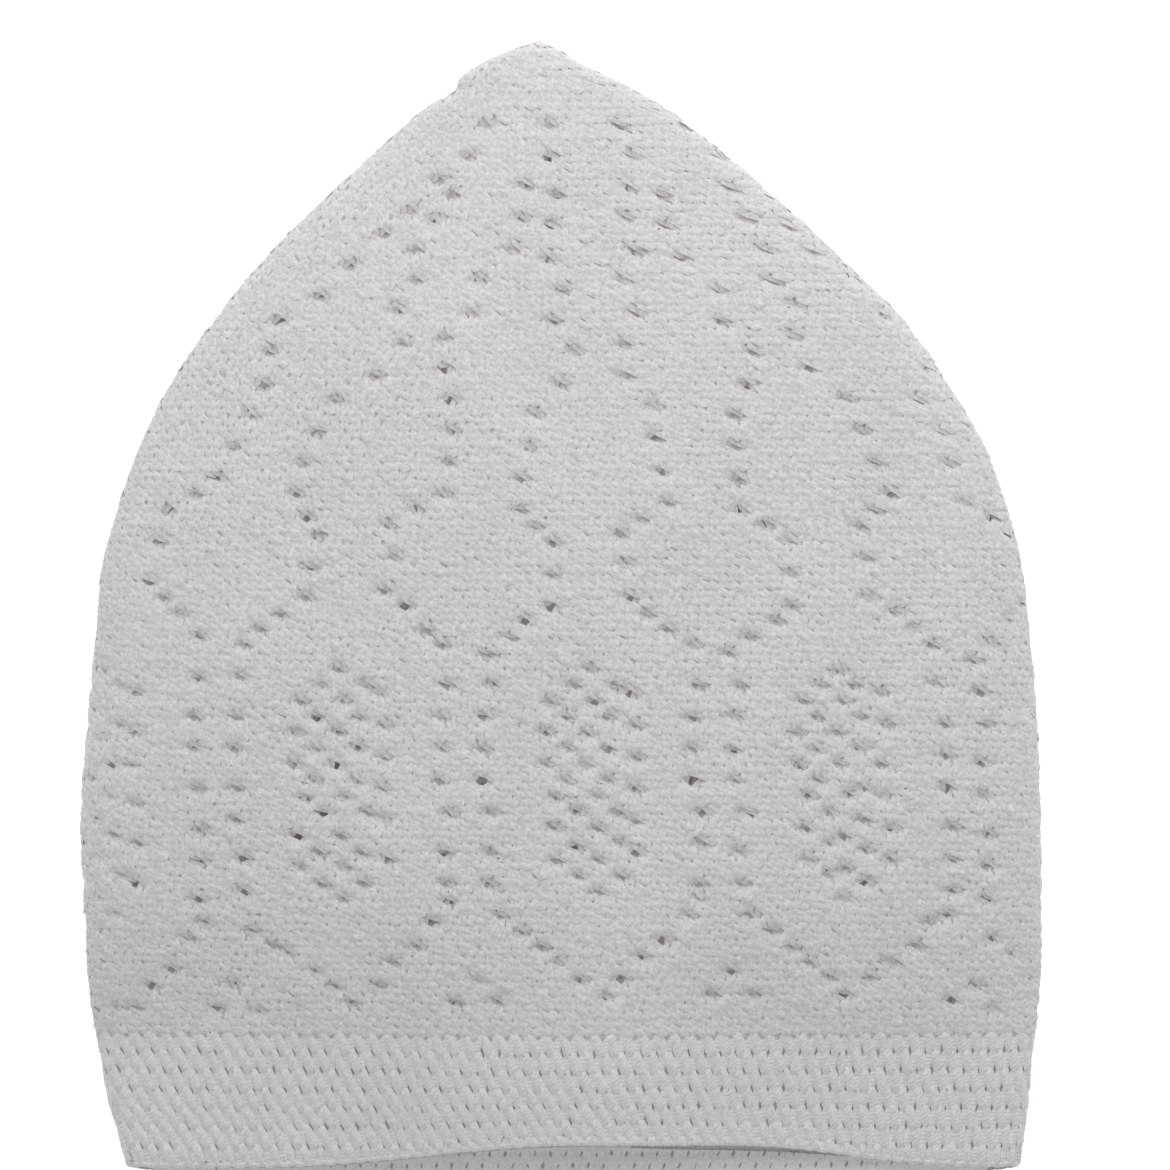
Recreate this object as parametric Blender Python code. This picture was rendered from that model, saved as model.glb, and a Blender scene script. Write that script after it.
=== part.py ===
"""Crocheted lace prayer cap, lying flat on its back layer: a hollow crown and a thicker rim band.

Metres, +Z up. The mouth faces -Y, the tip points to +Y and the underside lies on Z = 0.
"""

import bmesh
import bpy
import numpy as np

MM = 0.001

# Driving dimensions
CAP_LENGTH = 227.2 * MM
RIM_DROP = 3.6 * MM
RIM_ARCH = 5.5 * MM
BAND_DEPTH = 27.5 * MM
CROWN_WALL = 1.9 * MM
BAND_WALL = 2.8 * MM
SEAM_GAP = 0.3 * MM
RIM_LIP = 1.2 * MM
BAND_CLEARANCE = 0.2 * MM

# Cross sections from the mouth to the tip, in millimetres, one row each
# from_rim: distance up the cap from the corners of the mouth
# left, right: reach of the silhouette to each side of the middle line
# peak, shoulder: thickness of the lying cap over its middle and beside its side folds
# swell: how narrow the rise in the middle is
SECTION_COLUMNS = ("from_rim", "left", "right", "peak", "shoulder", "swell")
SECTIONS = np.array(
    (
        (0.0, 86.3, 90.9, 14.0, 7.0, 7.0),
        (6.3, 87.7, 91.8, 14.9, 7.6, 6.0),
        (14.2, 90.1, 92.8, 16.2, 8.7, 4.6),
        (22.1, 91.4, 93.4, 17.4, 9.9, 3.6),
        (34.0, 93.4, 94.8, 18.8, 12.0, 2.8),
        (49.8, 94.3, 95.1, 20.2, 14.4, 2.2),
        (69.5, 95.1, 95.0, 20.6, 15.4, 2.0),
        (89.3, 93.8, 94.2, 20.6, 15.6, 2.0),
        (105.1, 92.2, 92.8, 20.2, 15.4, 2.0),
        (120.9, 90.6, 91.0, 19.5, 14.8, 2.0),
        (132.7, 87.3, 87.9, 18.8, 14.3, 2.0),
        (144.6, 83.0, 83.3, 17.9, 13.5, 2.0),
        (156.4, 77.0, 76.2, 16.8, 12.7, 2.0),
        (168.3, 68.9, 68.1, 15.4, 11.7, 2.0),
        (180.1, 59.3, 56.1, 13.7, 10.7, 2.0),
        (192.0, 47.6, 43.6, 11.8, 9.5, 2.0),
        (203.8, 34.8, 29.8, 9.7, 8.1, 2.0),
        (208.0, 30.2, 24.6, 8.6, 7.6, 2.0),
        (211.7, 25.4, 19.0, 7.7, 7.1, 2.0),
        (213.9, 21.2, 15.0, 7.3, 6.6, 2.0),
        (216.4, 20.4, 10.4, 6.7, 6.2, 2.0),
        (219.6, 15.8, 3.6, 5.8, 5.4, 2.0),
        (222.2, 10.2, -0.4, 4.8, 4.4, 2.0),
        (223.6, 6.0, -4.0, 3.4, 3.2, 2.0),
    )
)
TIP_FROM_RIM = 223.6 * MM
FOLD_HEIGHT = 0.5
UNDERSIDE_FLAT = 0.8
SHOULDER_POWER = 6.0
RIM_DROP_POWER = 4.0

# The lace chart: pairs of eyelet columns, counted in stitches round the cap
# from the middle of the underside. The upper layer's stitches lie a little stretched.
STITCHES_ROUND = 192
UPPER_STRETCH = 0.02
REPEATS = 8
PAIR_AXIS_STITCH = 14.5
PAIR_HALF_SPACING = 2.0
EYELET_ROWS = 7
FIRST_EYELET_ROW = 58.1 * MM
EYELET_ROW_SPACING = 6.4 * MM
EYELET_WIDTH = 2.9 * MM
EYELET_HEIGHT = 2.3 * MM
EYELET_SIDES = 6

# Facets of the solids
TOP_COLUMNS = 26
UNDERSIDE_COLUMNS = 20
FINE_COLUMNS = 400
CROWN_STATIONS = (36, 47, 58, 69.5, 80, 91, 102, 112, 121, 130, 138, 146, 154, 162, 170, 178, 186, 193, 199,
                  204, 208, 211.7, 213.9, 216.4, 219.6, 222.2)
HOLLOW_END = 206.0 * MM
HOLLOW_POLE = 210.0 * MM
BAND_ROWS = 4

CROWN_COLOUR = (0.60, 0.585, 0.575, 1.0)
BAND_COLOUR = (0.63, 0.615, 0.605, 1.0)
YARN_ROUGHNESS = 0.9


def clear_scene():
    for thing in list(bpy.data.objects):
        bpy.data.objects.remove(thing, do_unlink=True)


def section(from_rim):
    """The section table at one distance, by cubic curves through its rows, as a dict in metres."""
    at = np.clip(from_rim / MM, SECTIONS[0, 0], SECTIONS[-1, 0])
    distance = SECTIONS[:, 0]
    step = np.diff(distance)
    rise = np.diff(SECTIONS, axis=0) / step[:, None]
    tangent = np.vstack((rise[:1], (rise[:-1] * step[1:, None] + rise[1:] * step[:-1, None])
                         / (step[:-1] + step[1:])[:, None], rise[-1:]))
    row = int(np.clip(np.searchsorted(distance, at, side="right") - 1, 0, len(step) - 1))
    t = (at - distance[row]) / step[row]
    values = (
        (1 + 2 * t) * (1 - t) ** 2 * SECTIONS[row]
        + t * (1 - t) ** 2 * step[row] * tangent[row]
        + t * t * (3 - 2 * t) * SECTIONS[row + 1]
        - t * t * (1 - t) * step[row] * tangent[row + 1]
    )
    named = dict(zip(SECTION_COLUMNS, values * MM))
    named["swell"] /= MM
    return named


def ring(from_rim, inset, clearance=0.0, top_columns=TOP_COLUMNS, underside_columns=UNDERSIDE_COLUMNS):
    """One closed section, from the middle of the underside round by the left fold and over the top.

    The underside is flat and turns up in an arc at each fold. The top rises from the fold to a
    plateau and swells over the middle. The inset moves every wall inwards by that thickness, and
    the clearance keeps the underside at least that far above the surface it lies on.
    """
    here = section(from_rim)
    ahead = section(from_rim + MM)
    half = (here["left"] + here["right"]) / 2
    slope = ((ahead["left"] + ahead["right"]) / 2 - half) / MM
    half -= inset * np.hypot(1, slope)
    middle = (here["right"] - here["left"]) / 2
    fold = FOLD_HEIGHT * here["shoulder"]

    turn = np.linspace(0, np.pi / 2, underside_columns // 2 + 1)
    across = np.sin(turn)
    past_flat = np.clip((across - UNDERSIDE_FLAT) / (1 - UNDERSIDE_FLAT), 0, 1)
    under_z = fold - (fold - max(inset, clearance)) * np.sqrt(1 - past_flat ** 2)
    under_lift = -RIM_DROP * (1 - across ** RIM_DROP_POWER)

    over = np.linspace(-np.pi / 2, np.pi / 2, top_columns + 1)
    t = np.sin(over)
    bell = np.cos(t * np.pi / 2) ** here["swell"]
    over_z = (fold + (here["shoulder"] - inset - fold) * np.sqrt(1 - np.abs(t) ** SHOULDER_POWER)
              + (here["peak"] - here["shoulder"]) * bell)
    over_lift = RIM_ARCH * bell

    x = np.concatenate((-across[:-1], t, across[-2:0:-1])) * half + middle
    z = np.concatenate((under_z[:-1], over_z, under_z[-2:0:-1]))
    lift = np.concatenate((under_lift[:-1], over_lift, under_lift[-2:0:-1]))
    fade = np.clip(1 - from_rim / BAND_DEPTH, 0, 1) ** 2
    y = from_rim + lift * fade + RIM_DROP - CAP_LENGTH / 2
    return np.column_stack((x, y, z))


def on_cap(stitch, from_rim):
    """The point on the outer surface at a stitch count round the cap and a distance from the rim."""
    points = ring(from_rim, 0.0, 0.0, FINE_COLUMNS, FINE_COLUMNS)
    closed = np.vstack((points, points[:1]))
    run = np.concatenate(([0.0], np.cumsum(np.linalg.norm(np.diff(closed, axis=0), axis=1))))
    turn = (stitch % STITCHES_ROUND) / STITCHES_ROUND
    at = (turn - UPPER_STRETCH * np.sin(2 * np.pi * turn) / (2 * np.pi)) * run[-1]
    return np.array([np.interp(at, run, closed[:, axis]) for axis in range(3)])


def yarn_material(name, colour):
    material = bpy.data.materials.new(name)
    material.use_nodes = True
    shader = material.node_tree.nodes["Principled BSDF"]
    shader.inputs["Base Color"].default_value = colour
    shader.inputs["Roughness"].default_value = YARN_ROUGHNESS
    shader.inputs["Metallic"].default_value = 0.0
    return material


def add_object(name, mesh, material=None):
    thing = bpy.data.objects.new(name, mesh)
    bpy.context.scene.collection.objects.link(thing)
    if material:
        mesh.materials.append(material)
    mesh.shade_smooth()
    return thing


def bridge(work, lower, upper):
    """Quads between two closed rings of vertices with the same count."""
    count = len(lower)
    for i in range(count):
        j = (i + 1) % count
        work.faces.new((lower[i], lower[j], upper[j], upper[i]))


def fan(work, loop, pole):
    """Triangles from a closed ring of vertices to one pole."""
    count = len(loop)
    for i in range(count):
        work.faces.new((loop[i], loop[(i + 1) % count], pole))


def shell_mesh(name, rings, poles=(None, None)):
    """A closed skin through rings of points, with a pole at an end, or joined end to end without."""
    work = bmesh.new()
    loops = [[work.verts.new(point) for point in points] for points in rings]
    for lower, upper in zip(loops, loops[1:]):
        bridge(work, lower, upper)
    first, last = poles
    if first is None:
        bridge(work, loops[-1], loops[0])
    else:
        fan(work, loops[0][::-1], work.verts.new(first))
        fan(work, loops[-1], work.verts.new(last))
    bmesh.ops.recalc_face_normals(work, faces=work.faces)
    mesh = bpy.data.meshes.new(name)
    work.to_mesh(mesh)
    work.free()
    return mesh


def pole_at(from_rim, height):
    """A point on the middle line of a section, at a share of its thickness."""
    here = section(from_rim)
    return ((here["right"] - here["left"]) / 2, from_rim + RIM_DROP - CAP_LENGTH / 2, here["peak"] * height)


def make_crown(material):
    """The lace crown: an outer skin to the tip and an inner skin round the head hollow."""
    seam = BAND_DEPTH + SEAM_GAP / 2
    stations = [seam] + [station * MM for station in CROWN_STATIONS]
    hollow = [station for station in stations if station < HOLLOW_END]
    inner = [ring(at, CROWN_WALL) for at in hollow[::-1]]
    outer = [ring(at, 0.0) for at in stations]
    poles = (pole_at(HOLLOW_POLE, FOLD_HEIGHT), pole_at(TIP_FROM_RIM, FOLD_HEIGHT))
    return add_object("crown", shell_mesh("crown", inner + outer, poles), material)


def eyelet_prism(work, stitch, from_rim):
    """One six-sided prism through the wall, square to it at an eyelet of the chart."""
    centre = on_cap(stitch, from_rim)
    along = on_cap(stitch + 0.5, from_rim) - on_cap(stitch - 0.5, from_rim)
    up = on_cap(stitch, from_rim + MM) - on_cap(stitch, from_rim - MM)
    along /= np.linalg.norm(along)
    out = np.cross(along, up)
    out /= np.linalg.norm(out)
    up = np.cross(out, along)
    turns = np.arange(EYELET_SIDES) * 2 * np.pi / EYELET_SIDES
    rim = (centre + np.outer(np.cos(turns) * EYELET_WIDTH / 2, along)
           + np.outer(np.sin(turns) * EYELET_HEIGHT / 2, up))
    ends = [[work.verts.new(point + out * reach) for point in rim] for reach in (-2 * CROWN_WALL, CROWN_WALL)]
    bridge(work, *ends)
    work.faces.new(ends[0][::-1])
    work.faces.new(ends[1])


def cut_eyelets(crown):
    """Cuts the chart's pairs of eyelet columns through the crown."""
    work = bmesh.new()
    for repeat in range(REPEATS):
        axis = PAIR_AXIS_STITCH + repeat * STITCHES_ROUND / REPEATS
        for side in (-1, 1):
            for row in range(EYELET_ROWS):
                eyelet_prism(work, axis + side * PAIR_HALF_SPACING, FIRST_EYELET_ROW + row * EYELET_ROW_SPACING)
    bmesh.ops.recalc_face_normals(work, faces=work.faces)
    mesh = bpy.data.meshes.new("eyelet_cutter")
    work.to_mesh(mesh)
    work.free()
    cutter = add_object("eyelet_cutter", mesh)
    cutter.hide_render = True
    cutter.display_type = "WIRE"
    cut = crown.modifiers.new("eyelets", "BOOLEAN")
    cut.operation = "DIFFERENCE"
    cut.solver = "EXACT"
    cut.object = cutter


def make_band(material):
    """The rim band: an outer and an inner skin that meet in a rounded lip at the mouth."""
    top = BAND_DEPTH - SEAM_GAP / 2
    rises = np.linspace(RIM_LIP, top, BAND_ROWS + 1)
    outer = [ring(rise, 0.0, BAND_CLEARANCE) for rise in rises]
    inner = [ring(rise, BAND_WALL) for rise in rises[::-1]]
    lip = ring(0.0, BAND_WALL / 2)
    return add_object("rim_band", shell_mesh("rim_band", [lip] + outer + inner), material)


def main():
    clear_scene()
    crown = make_crown(yarn_material("crown_yarn", CROWN_COLOUR))
    cut_eyelets(crown)
    make_band(yarn_material("band_yarn", BAND_COLOUR))


main()
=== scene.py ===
"""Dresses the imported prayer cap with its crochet: rounds of looped yarn, lace eyelets and a rim band."""

import bpy
import numpy as np
from bpy.props import FloatProperty, FloatVectorProperty, IntProperty, PointerProperty
from bpy.types import Operator, Panel, PropertyGroup
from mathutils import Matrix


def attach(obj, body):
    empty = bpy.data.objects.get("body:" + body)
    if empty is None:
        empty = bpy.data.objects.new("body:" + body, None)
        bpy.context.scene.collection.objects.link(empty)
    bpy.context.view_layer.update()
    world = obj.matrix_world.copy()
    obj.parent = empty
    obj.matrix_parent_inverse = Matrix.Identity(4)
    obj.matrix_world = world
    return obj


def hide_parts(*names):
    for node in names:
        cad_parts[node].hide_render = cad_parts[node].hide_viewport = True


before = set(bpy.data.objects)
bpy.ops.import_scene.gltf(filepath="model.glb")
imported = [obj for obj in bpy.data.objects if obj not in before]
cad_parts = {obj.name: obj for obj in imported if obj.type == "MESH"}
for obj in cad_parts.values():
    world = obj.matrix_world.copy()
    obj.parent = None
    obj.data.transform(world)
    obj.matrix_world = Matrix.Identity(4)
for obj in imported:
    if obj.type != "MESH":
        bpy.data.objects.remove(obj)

bl_info = {
    "name": "Crocheted prayer cap",
    "version": (1, 0, 0),
    "blender": (4, 5, 0),
    "location": "3D View > Sidebar > Prayer cap",
    "description": "Works the rounds of crochet, the eyelets and the rim band over the packed cap",
    "category": "Add Mesh",
}

MM = 0.001

# The lying cap, as its solids have it. Sections from the mouth to the tip, in millimetres:
# distance from the rim, reach to the left and right of the middle line, thickness over the
# middle and beside the folds, and how narrow the rise in the middle is.
CAP_LENGTH = 227.2 * MM
RIM_DROP = 3.6 * MM
RIM_ARCH = 5.5 * MM
BAND_DEPTH = 27.5 * MM
SECTIONS = np.array(
    (
        (0.0, 86.3, 90.9, 14.0, 7.0, 7.0),
        (6.3, 87.7, 91.8, 14.9, 7.6, 6.0),
        (14.2, 90.1, 92.8, 16.2, 8.7, 4.6),
        (22.1, 91.4, 93.4, 17.4, 9.9, 3.6),
        (34.0, 93.4, 94.8, 18.8, 12.0, 2.8),
        (49.8, 94.3, 95.1, 20.2, 14.4, 2.2),
        (69.5, 95.1, 95.0, 20.6, 15.4, 2.0),
        (89.3, 93.8, 94.2, 20.6, 15.6, 2.0),
        (105.1, 92.2, 92.8, 20.2, 15.4, 2.0),
        (120.9, 90.6, 91.0, 19.5, 14.8, 2.0),
        (132.7, 87.3, 87.9, 18.8, 14.3, 2.0),
        (144.6, 83.0, 83.3, 17.9, 13.5, 2.0),
        (156.4, 77.0, 76.2, 16.8, 12.7, 2.0),
        (168.3, 68.9, 68.1, 15.4, 11.7, 2.0),
        (180.1, 59.3, 56.1, 13.7, 10.7, 2.0),
        (192.0, 47.6, 43.6, 11.8, 9.5, 2.0),
        (203.8, 34.8, 29.8, 9.7, 8.1, 2.0),
        (208.0, 30.2, 24.6, 8.6, 7.6, 2.0),
        (211.7, 25.4, 19.0, 7.7, 7.1, 2.0),
        (213.9, 21.2, 15.0, 7.3, 6.6, 2.0),
        (216.4, 20.4, 10.4, 6.7, 6.2, 2.0),
        (219.6, 15.8, 3.6, 5.8, 5.4, 2.0),
        (222.2, 10.2, -0.4, 4.8, 4.4, 2.0),
        (223.6, 6.0, -4.0, 3.4, 3.2, 2.0),
    )
)
FOLD_HEIGHT = 0.5
UNDERSIDE_FLAT = 0.8
SHOULDER_POWER = 6.0
RIM_DROP_POWER = 4.0
TABLE_COLUMNS = 768
TABLE_PITCH = 0.4 * MM

# The lace chart: stitches round the cap are counted from the middle of the underside
STITCHES_ROUND = 192
REPEATS = 8
STITCHES_A_REPEAT = STITCHES_ROUND // REPEATS
DIAMOND_AXIS = 2.5
PAIR_AXIS = 14.5
FIRST_ROUND = 27.45 * MM
ROUND_PITCH = 1.56 * MM
STITCH = 2.06 * MM
ROUNDS = 127
# columns of the chart: offset from the axis, in stitches, then the rounds with an eyelet there
DIAMOND = (
    (0, range(18, 47, 4)), (-2, range(20, 45, 4)), (2, range(20, 45, 4)), (-4, range(22, 43, 4)),
    (4, range(23, 44, 4)),
)
CHEVRON = (
    (0, (5,)), (-2, (7,)), (2, (7,)), (-4, (9,)), (4, (10,)), (-6, (11,)), (6, (12,)), (-8, (13,)),
    (8, (15,)), (-10, (15,)), (10, (17,)),
)
TRIANGLE = ((0, (8,)), (-2, (5,)), (2, (5,)))
PAIR = ((-2, 19.65 + 4.1 * np.arange(7)), (2, 19.65 + 4.1 * np.arange(7)))
# how far the figures have slipped to the right, in millimetres, by distance from the rim in millimetres
SLIP_AT = (38.0, 74.0, 104.0, 133.0, 153.0, 172.0, 192.0)
SLIP = (2.6, 1.1, 0.0, 0.8, 2.7, 5.1, 6.8)
# round, then the offset of the eyelet lines from the diamond axis
LINES = (
    (48, 10.0), (50, 8.0), (52, 6.0), (54, 4.0), (58, 4.0), (62, 3.6), (64, 5.6), (66, 7.8), (70, 8.0),
    (74, 7.6), (78, 7.2), (82, 4.1), (86, 3.1), (90, 5.65), (94, 4.9), (98, 8.1), (102, 8.1), (106, 8.1),
)
TIP_ROUNDS = (111, 115)
RIGHT_LINE_RISE = 1.3
# the first and the last row that may hold an eyelet, and a little under a half, so that an eyelet midway
# between two gaps goes to the left one
CHART_ENDS = (3, ROUNDS - 10)
UNDER_HALF = 0.49
# how far the figures droop or rise, in millimetres: all over, tilting across, and at the sides, by the
# place across as a share of the half width
HALF_WIDTH = 95 * MM
DROOP = 0.5
TILT_FROM = 74
TILT_OVER = 20
TILT_LIMITS = (-2, 1.6)
SIDES_DOWN = 8
SIDES_UP = 9
RISING_FROM = 60
RISING_OVER = 90

# how far from an eyelet's middle the cloth dips, and the smallest eyelet's dip as a share of the widest's
DIMPLE_WIDE = 1.75 * MM
DIMPLE_HIGH = 1.1 * MM
SMALLEST_DIP = 0.4
# how the eyelets differ: their spread off their places, and in height, at most this many spreads
EYELET_SEED = 7
EYELET_SPREAD = 0.4 * MM
HEIGHT_SPREAD = 0.3
HEIGHT_LIMIT = 1.5
SIZES_POWER = 1.2
# the dips flatten out at the side folds, over this part of a turn, by this share
DIP_FOLD = 0.025
DIP_FLATTENED = 0.85
# how far round an eyelet the stitches move, and get more points, in its half widths
PUSH_REACH = 3
FINE_REACH = 2
EYELET_SEARCH = 9 * MM
# the part of a cell that has to reach an open eyelet's middle for the cell to be left out
CELL_SHARE = 0.85

# a crown stitch: points in it beside an eyelet, elsewhere on the upper layer, and on the lower one, how
# far its top strays to the side in stitches, up in rounds and out, and how much the yarn's width varies
CROWN_SEED = 1000
CROWN_POINTS = (8, 5, 4)
CROWN_STRAY = (0.2, 0.2, 0.15 * MM)
CROWN_SWELL = 0.08
CROWN_SIDES = 4
CROWN_PLY = 1.1 * MM
TIERS = ((0, 24), (24, 48), (48, 73), (73, 102), (102, ROUNDS - 1))
# the yarn's middle stays this share of its thickness over the ground
OVER_GROUND = 0.55

# the arch of the front rim, and how far the rounds crowd towards it
ARCH_MIDDLE = 14 * MM
ARCH_REACH = 46 * MM
ROUNDS_CROWD = 3.9 * MM
CROWD_REACH = 9 * MM
CROWD_START = 1.5 * MM
# the band's rounds, outside and inside: how many, the middle of the first, the step to the next, the
# lowest that a stitch comes, the points in a stitch where the layer shows and where it doesn't, and the
# seed of the first round
OUTSIDE = {
    "rounds": 7, "first": 2.69 * MM, "pitch": 3.82 * MM, "lowest": 1.5 * MM, "points": (10, 6), "seed": 3000,
}
INSIDE = {
    "rounds": 8, "first": 0.47 * MM, "pitch": 1.93 * MM, "lowest": 0.5 * MM, "points": (8, 4), "seed": 5000,
}
# inside, the front's rounds stop short behind the rim strand by this much more
INSIDE_HELD_BACK = 1.6 * MM
INSIDE_THICK = 0.8
# the lining lies closer to the outside at the side folds, over this part of a turn, by this share
LINING_FOLD = 0.03
LINING_DRAWN_OUT = 0.5
# half the part of a turn over which the upper layer shows
SHOWN = 0.27
# how far the points of a band stitch crowd at its heads and feet, where the yarn turns
TURN_CROWDING = 0.072
# how far a band stitch's head strays: to the side in stitches, up in reaches, out, and in width
BAND_STRAY = (0.07, 0.1, 0.1 * MM, 0.06)
BAND_SWELL = 0.05
BAND_SIDES = 6
BAND_PLY = 1.3 * MM
# the band's body: distances from the rim, and the depths of its lip in walls
BODY_RISES = (1.4, 4.0, 8.0, 12.0, 16.0, 20.0, 24.0, 28.2)
LIP_DEPTHS = (0.4, 0.7)
# the strand that rolls over the rim: where its middle lies, how far it waves, and its half width and
# half thickness, how many half thicknesses its middle stays over the ground, and how far the band's body
# reaches past it in front and at the back
EDGE_RISE = 1.1 * MM
EDGE_DEPTH = 0.7 * MM
EDGE_WAVE = 0.15 * MM
EDGE_HALF_WIDE = 0.65 * MM
EDGE_HALF_THICK = 0.6 * MM
EDGE_OVER_GROUND = 1.5
# painted shade: in front the lip reaches past the rim strand, so that the band body's darkened colour shows
# as a thin dark line under the rim
SHADE_LINE_LIP_OUT = 0.4 * MM
LIP_BACK = -0.5 * MM
# how far the upper layer's stitches are drawn out, by distance from the rim in millimetres
STRETCH_AT = (113.0, 125.0, 139.0, 162.0, 186.0)
STRETCH = (0.02, 0.0, -0.03, -0.08, -0.15)

# the cotton's surface, and its noises: soft patches, specks and fuzz
MATT = {"Roughness": 0.95, "Specular IOR Level": 0.2, "Sheen Weight": 0.15, "Sheen Roughness": 0.6}
PATCHES = {"Scale": 45.0, "Detail": 3.0}
SPECKS = {"Scale": 1500.0, "Detail": 2.0}
FUZZ = {"Scale": 1800.0, "Detail": 3.0}
# the specks' share in the colour's unevenness, and the part of its range that runs from dull to bright
SPECK_SHARE = 0.85
DULL_TO_BRIGHT = (0.35, 0.65)
# bands of ply round the yarn, and how strongly the plies and the fuzz stand out
PLIES_ROUND = 2.0
PLY_BUMP = 0.35
FUZZ_BUMP = 0.5

# the stage: the floor's place under the cap and its surface, and the soft boxes by name, width, height,
# place and lean in degrees
FLOOR_BELOW = 0.3 * MM
FLOOR_SURFACE = {"Roughness": 0.9, "Specular IOR Level": 0.1, "Emission Color": (1, 1, 1, 1)}
SOFT_BOXES = (("key", 1.2, 0.8, (0.1, 0.4, 0.4), -45), ("fill", 1.0, 0.5, (0, -0.55, 0.45), 50))
# the camera looks straight down: its lens and sensor in millimetres, the place over the cap, and the
# height at which the picture takes in the view width
LENS = 200.0
SENSOR = 36.0
CLIP_START = 0.01
CAMERA_OVER = (4.7 * MM, 5.9 * MM)
SEEN_HEIGHT = 9 * MM


def sections(from_rim):
    """The section table at many distances, by cubic curves through its rows: one line each of reach left,
    reach right, peak and shoulder in metres, and the swell."""
    at = np.clip(from_rim / MM, SECTIONS[0, 0], SECTIONS[-1, 0])
    distance = SECTIONS[:, 0]
    step = np.diff(distance)
    rise = np.diff(SECTIONS, axis=0) / step[:, None]
    inner = (rise[:-1] * step[1:, None] + rise[1:] * step[:-1, None]) / (step[:-1] + step[1:])[:, None]
    tangent = np.vstack((rise[:1], inner, rise[-1:]))
    row = np.clip(np.searchsorted(distance, at, side="right") - 1, 0, len(step) - 1)
    t = ((at - distance[row]) / step[row])[:, None]
    run = step[row][:, None]
    values = (
        (1 + 2 * t) * (1 - t) ** 2 * SECTIONS[row]
        + t * (1 - t) ** 2 * run * tangent[row]
        + t * t * (3 - 2 * t) * SECTIONS[row + 1]
        - t * t * (1 - t) * run * tangent[row + 1]
    )
    values[:, :5] *= MM
    return values[:, 1:].T


def cap_rings(from_rim, columns=400):
    """Points of the cap's outer surface, a grid of distance from the rim by place round the section.

    The underside is flat and turns up in a quarter arc at each fold: z = fold - fold * sqrt(1 - past^2).
    The top is a flattened arch from fold to fold, with a cosine bell over its middle. The mouth's edge
    rises by the same bell in front and drops behind, and that fades out over the band."""
    left, right, peak, shoulder, swell = (value[:, None] for value in sections(from_rim))
    half = (left + right) / 2
    fold = FOLD_HEIGHT * shoulder

    across = np.sin(np.linspace(0, np.pi / 2, columns // 2 + 1))[None]
    past_flat = np.clip((across - UNDERSIDE_FLAT) / (1 - UNDERSIDE_FLAT), 0, 1)
    under_z = fold - fold * np.sqrt(1 - past_flat ** 2)
    under_lift = -RIM_DROP * (1 - across ** RIM_DROP_POWER) * np.ones_like(half)

    t = np.sin(np.linspace(-np.pi / 2, np.pi / 2, columns + 1))[None]
    bell = np.cos(t * np.pi / 2) ** swell
    over_z = fold + (shoulder - fold) * np.sqrt(1 - np.abs(t) ** SHOULDER_POWER) + (peak - shoulder) * bell

    x = np.hstack((-across[:, :-1] * half, t * half, across[:, -2::-1] * half)) + (right - left) / 2
    z = np.hstack((under_z[:, :-1], over_z, under_z[:, -2::-1]))
    lift = np.hstack((under_lift[:, :-1], RIM_ARCH * bell, under_lift[:, -2::-1]))
    fade = np.clip(1 - from_rim[:, None] / BAND_DEPTH, 0, 1) ** 2
    y = from_rim[:, None] + lift * fade + RIM_DROP - CAP_LENGTH / 2
    return np.stack((x, y, z), axis=2)


def even_rings():
    """The same surface with its points at even steps of arc round each section, and each section's girth."""
    stations = np.arange(0.0, SECTIONS[-1, 0] * MM + TABLE_PITCH / 2, TABLE_PITCH)
    rings = cap_rings(stations)
    run = np.cumsum(np.linalg.norm(np.diff(rings, axis=1), axis=2), axis=1)
    girth = run[:, -1]
    share = np.hstack((np.zeros((len(rings), 1)), run / girth[:, None]))
    # each ring's shares are shifted by the ring's number, so one interpolation does them all
    shift = 2.0 * np.arange(len(rings))[:, None]
    wanted = (np.linspace(0, 1, TABLE_COLUMNS + 1)[None] + shift).ravel()
    even = [np.interp(wanted, (share + shift).ravel(), rings[:, :, axis].ravel()) for axis in range(3)]
    return np.stack(even, axis=1).reshape(len(rings), TABLE_COLUMNS + 1, 3), girth


RINGS, GIRTH = even_rings()


def outward():
    """Unit normals of the table: the step round the section crossed with the step towards the tip."""
    closed = np.concatenate((RINGS[:, -2:-1], RINGS, RINGS[:, 1:2]), axis=1)
    along = closed[:, 2:] - closed[:, :-2]
    normal = np.cross(along, np.gradient(RINGS, axis=0))
    return normal / np.maximum(np.linalg.norm(normal, axis=2, keepdims=True), 1e-12)


NORMALS = outward()


def girth_at(from_rim):
    """The section's girth at a distance from the rim, by straight lines between the table's rows."""
    return np.interp(from_rim / TABLE_PITCH, np.arange(len(GIRTH)), GIRTH)


def look_up(table, turn, from_rim):
    """The table at a turn round the cap, 0 to 1, and a distance from the rim, between four neighbours."""
    column = (turn % 1.0) * TABLE_COLUMNS
    row = np.clip(from_rim / TABLE_PITCH, 0, len(table) - 1.001)
    i, j = row.astype(int), np.minimum(column.astype(int), TABLE_COLUMNS - 1)
    down, side = (row - i)[:, None], (column - j)[:, None]
    low = table[i, j] * (1 - side) + table[i, j + 1] * side
    high = table[i + 1, j] * (1 - side) + table[i + 1, j + 1] * side
    return low * (1 - down) + high * down


def on_cap(turn, from_rim, depth):
    """Points at that depth under the cap's outer surface, and the outward normals there."""
    normal = look_up(NORMALS, turn, from_rim)
    normal /= np.linalg.norm(normal, axis=1, keepdims=True)
    return look_up(RINGS, turn, from_rim) - normal * depth[:, None], normal


def on_top(turn):
    """1 over the middle of the upper layer and 0 under the middle of the lower one, by a cosine."""
    return (1 - np.cos(2 * np.pi * turn)) / 2


def at_folds(turn, reach):
    """1 at the two side folds, fading beside them by exp(-(turn / reach)^2)."""
    return np.exp(-((np.abs(turn % 1.0 - 0.5) - 0.25) / reach) ** 2)


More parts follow.
